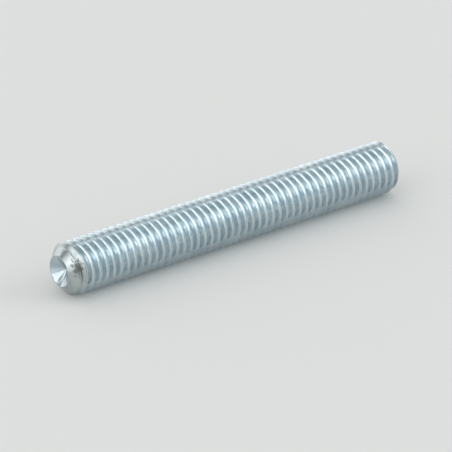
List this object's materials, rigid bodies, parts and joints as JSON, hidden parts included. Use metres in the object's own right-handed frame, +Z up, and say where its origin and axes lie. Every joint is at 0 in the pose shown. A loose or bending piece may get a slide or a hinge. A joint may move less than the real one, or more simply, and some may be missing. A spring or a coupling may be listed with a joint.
{
  "type": "adjusting bolt",
  "caption": "Headless set screw with a cup point at one end and a hexagon socket at the other, threaded over its whole length, in zinc-plated steel.",
  "frame": {"origin": "on the ground, on the bolt's axis, in the middle of the flat socket end that the bolt stands on, because it rolls when it lies on its side", "axes": "+Z up along the bolt's axis, from the socket end to the cup point; +X and +Y are square to it, with two corners of the socket on X"},
  "size_m": [0.008, 0.008, 0.06],
  "materials": {
    "zinc_plate": "bright zinc plate with a clear bluish passivation, over steel"
  },
  "bodies": {
    "root": {"adjusting_bolt": "zinc_plate"}
  },
  "joints": []
}
